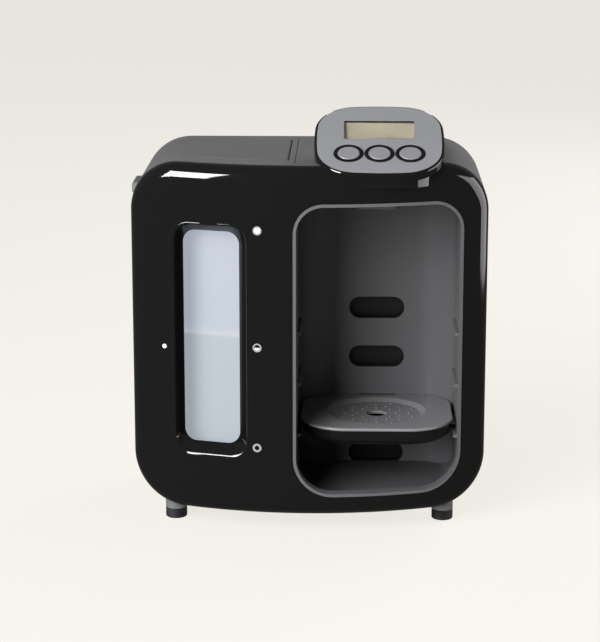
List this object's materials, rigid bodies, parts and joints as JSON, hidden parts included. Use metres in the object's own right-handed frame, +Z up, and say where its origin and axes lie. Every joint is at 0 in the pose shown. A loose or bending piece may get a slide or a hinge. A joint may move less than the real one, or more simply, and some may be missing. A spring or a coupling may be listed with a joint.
{
  "type": "baby formula maker",
  "caption": "Countertop formula milk maker with a lift-out water tank, a bottle bay with an adjustable drip platform and a sloping control console.",
  "frame": {"origin": "on the ground under the middle of the machine", "axes": "+X to the right, +Y to the back, +Z up; the front faces -Y"},
  "size_m": [0.288, 0.1808, 0.3336],
  "materials": {
    "gloss_black": "polished",
    "shell_grey": "fine matt grain",
    "liner_charcoal": "matt",
    "platform_black": "satin",
    "tray_black": "polished",
    "tank_frosted": "frosted",
    "inner_plastic": "satin",
    "faceplate_grey": "brushed and lacquered",
    "button_grey": "satin",
    "bezel_black": "polished",
    "screen_clear": "clear",
    "screen_beige": "matt",
    "board_green": "solder mask",
    "rubber_black": "matt",
    "hose_silicone": "satin",
    "filter_white": "matt",
    "steel": "bright",
    "pump_grey": "satin"
  },
  "bodies": {
    "housing": {"front_fascia": "gloss_black", "body_sleeve": "shell_grey", "rear_cover": "shell_grey", "hatch_cover": "shell_grey", "foot_front_left": "rubber_black", "foot_front_right": "rubber_black", "foot_rear_left": "rubber_black", "foot_rear_right": "rubber_black", "rear_cover_screws": "steel", "hatch_screws": "steel", "bay_liner": "liner_charcoal", "tank_cradle": "inner_plastic", "spigot": "inner_plastic", "spigot_seal": "rubber_black", "console_body": "tray_black", "console_faceplate": "faceplate_grey", "button_bezels": "bezel_black", "screen_lens": "screen_clear", "screen_module": "screen_beige", "control_board": "board_green", "water_pump": "pump_grey", "pump_mounts": "inner_plastic", "boiler": "steel", "boiler_straps": "steel", "thermostat": "steel", "solenoid_valve": "pump_grey", "nozzle_shroud": "liner_charcoal", "nozzle_spout": "inner_plastic", "hose_tank_to_pump": "hose_silicone", "hose_pump_to_boiler": "hose_silicone", "hose_boiler_to_valve": "hose_silicone", "power_board": "board_green", "cord_bush": "rubber_black"},
    "tank": {"tank_body": "tank_frosted", "tank_collar": "shell_grey", "lid_hinge_pin": "steel", "valve_housing": "inner_plastic", "filter_cartridge": "filter_white", "valve_spring": "steel"},
    "lid": {"tank_lid": "shell_grey", "lid_tab": "shell_grey"},
    "valve": {"valve_poppet": "inner_plastic"},
    "platform": {"drip_tray": "tray_black"},
    "platform_cover": {"platform_top": "platform_black"},
    "button_left": {"button_left": "button_grey"},
    "button_middle": {"button_middle": "button_grey"},
    "button_right": {"button_right": "button_grey"}
  },
  "joints": [
    {"name": "tank_lift", "type": "slide", "parent": "housing", "child": "tank", "axis": [0, 0, 1], "range_m": [0, 0.27]},
    {"name": "lid_hinge", "type": "hinge", "parent": "tank", "child": "lid", "pos_m": [-0.0195, 0.008, 0.294], "axis": [0, 1, 0], "range_deg": [0, 90]},
    {"name": "valve_stroke", "type": "slide", "parent": "tank", "child": "valve", "axis": [0, 0, 1], "range_m": [0, 0.0015], "stiffness_N_per_m": 150, "springref_m": -0.003, "deforming": ["valve_spring"]},
    {"name": "platform_slide", "type": "slide", "parent": "housing", "child": "platform", "axis": [0, -1, 0], "range_m": [0, 0.12]},
    {"name": "platform_cover_lift", "type": "slide", "parent": "platform", "child": "platform_cover", "axis": [0, 0, 1], "range_m": [0, 0.03]},
    {"name": "button_left_press", "type": "slide", "parent": "housing", "child": "button_left", "axis": [0, 0.4305, -0.9026], "range_m": [0, 0.0008], "stiffness_N_per_m": 1500},
    {"name": "button_middle_press", "type": "slide", "parent": "housing", "child": "button_middle", "axis": [0, 0.4305, -0.9026], "range_m": [0, 0.0008], "stiffness_N_per_m": 1500},
    {"name": "button_right_press", "type": "slide", "parent": "housing", "child": "button_right", "axis": [0, 0.4305, -0.9026], "range_m": [0, 0.0008], "stiffness_N_per_m": 1500}
  ]
}
